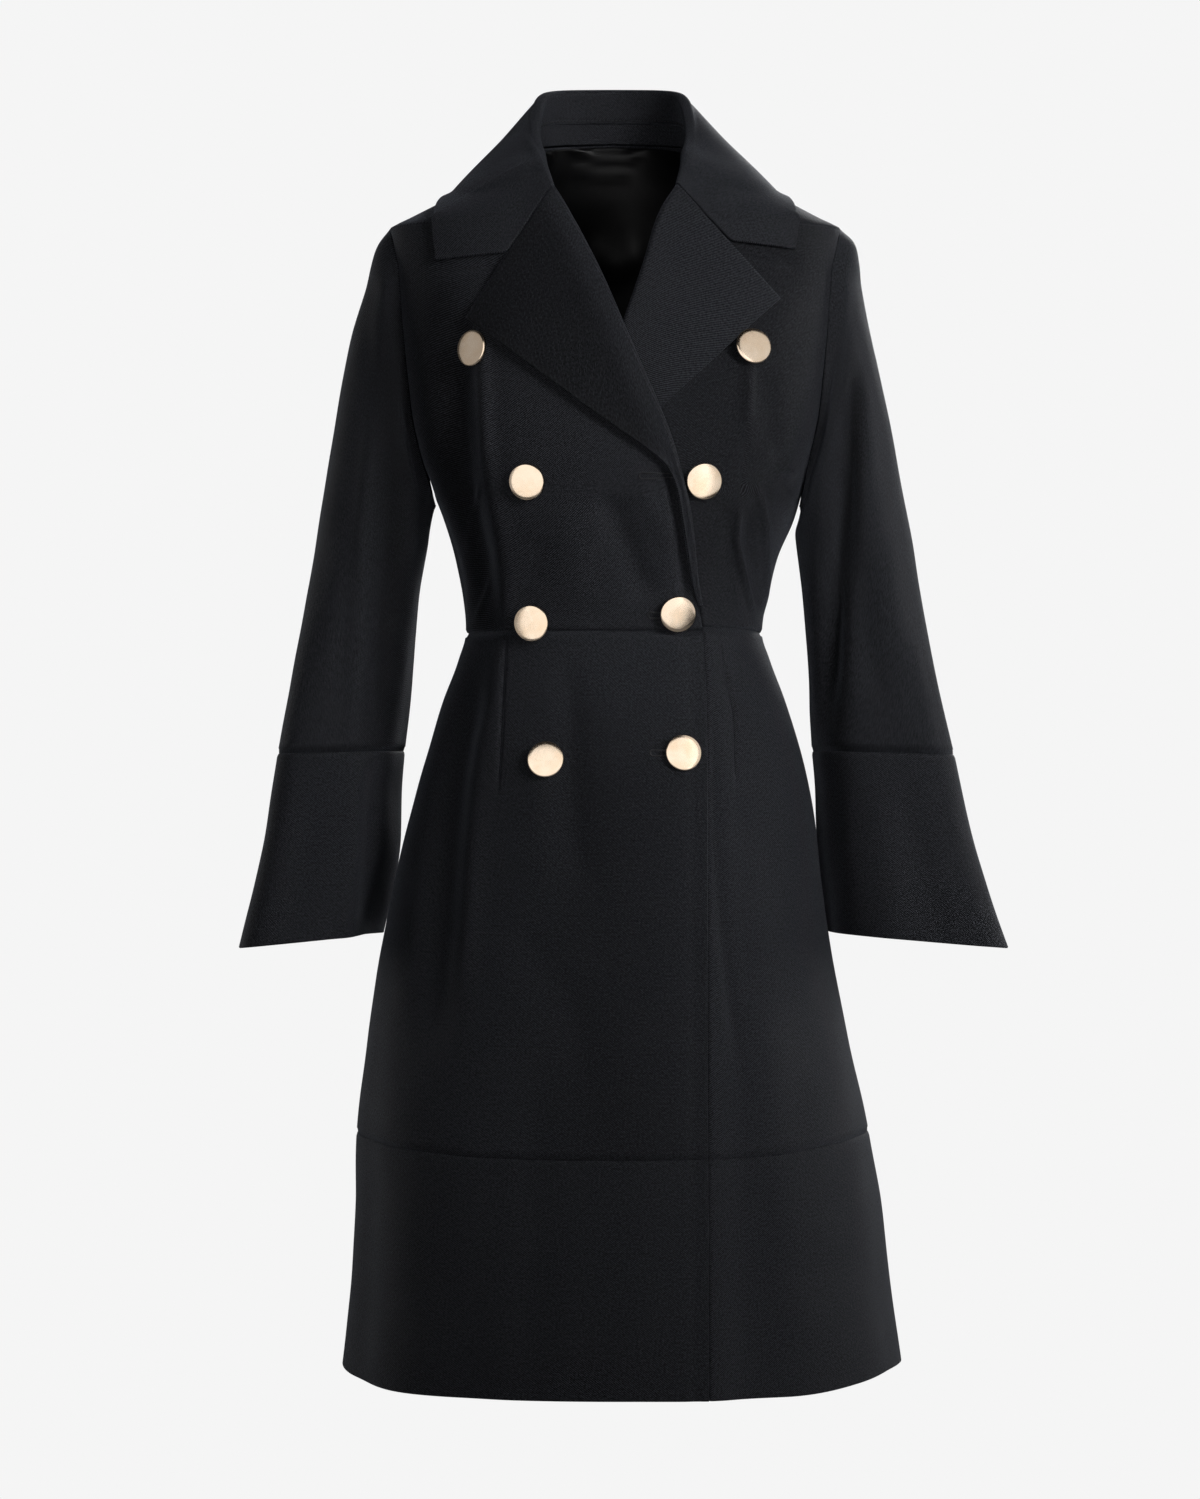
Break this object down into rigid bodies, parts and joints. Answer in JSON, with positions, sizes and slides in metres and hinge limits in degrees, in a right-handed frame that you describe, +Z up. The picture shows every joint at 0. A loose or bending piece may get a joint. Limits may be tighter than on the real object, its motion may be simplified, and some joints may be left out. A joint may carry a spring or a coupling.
{
  "type": "peplum coat",
  "caption": "Fitted double-breasted coat with notched lapels, a waist seam, a flared skirt with a deep hem band, long sleeves with bell cuffs and metal buttons, hollow as if worn.",
  "frame": {"origin": "centre of the wearer's neck at the level of the shoulder seams, where the coat hangs from the shoulders", "axes": "+X to the wearer's left, +Y to the wearer's back, +Z up"},
  "size_m": [0.6604, 0.4054, 1.1088],
  "materials": {
    "black_twill": "black twill with a fine diagonal weave and a faint sheen",
    "black_satin": "smooth black satin lining",
    "pale_gold": "polished pale gold metal with a plain, slightly domed face"
  },
  "bodies": {
    "root": {"right_front_bodice": "black_twill", "right_front_skirt": "black_twill", "right_front_hem_band": "black_twill", "right_lapel": "black_twill", "right_sleeve": "black_twill", "right_cuff": "black_twill", "left_front_bodice": "black_twill", "left_front_skirt": "black_twill", "left_front_hem_band": "black_twill", "left_lapel": "black_twill", "left_sleeve": "black_twill", "left_cuff": "black_twill", "back_bodice": "black_twill", "back_skirt": "black_twill", "back_hem_band": "black_twill", "collar": "black_twill", "collar_stand": "black_twill", "back_lining": "black_satin", "button_1_right": "pale_gold", "button_1_left": "pale_gold", "button_2_right": "pale_gold", "button_2_left": "pale_gold", "button_3_right": "pale_gold", "button_3_left": "pale_gold", "button_4_right": "pale_gold", "button_4_left": "pale_gold"}
  },
  "joints": []
}
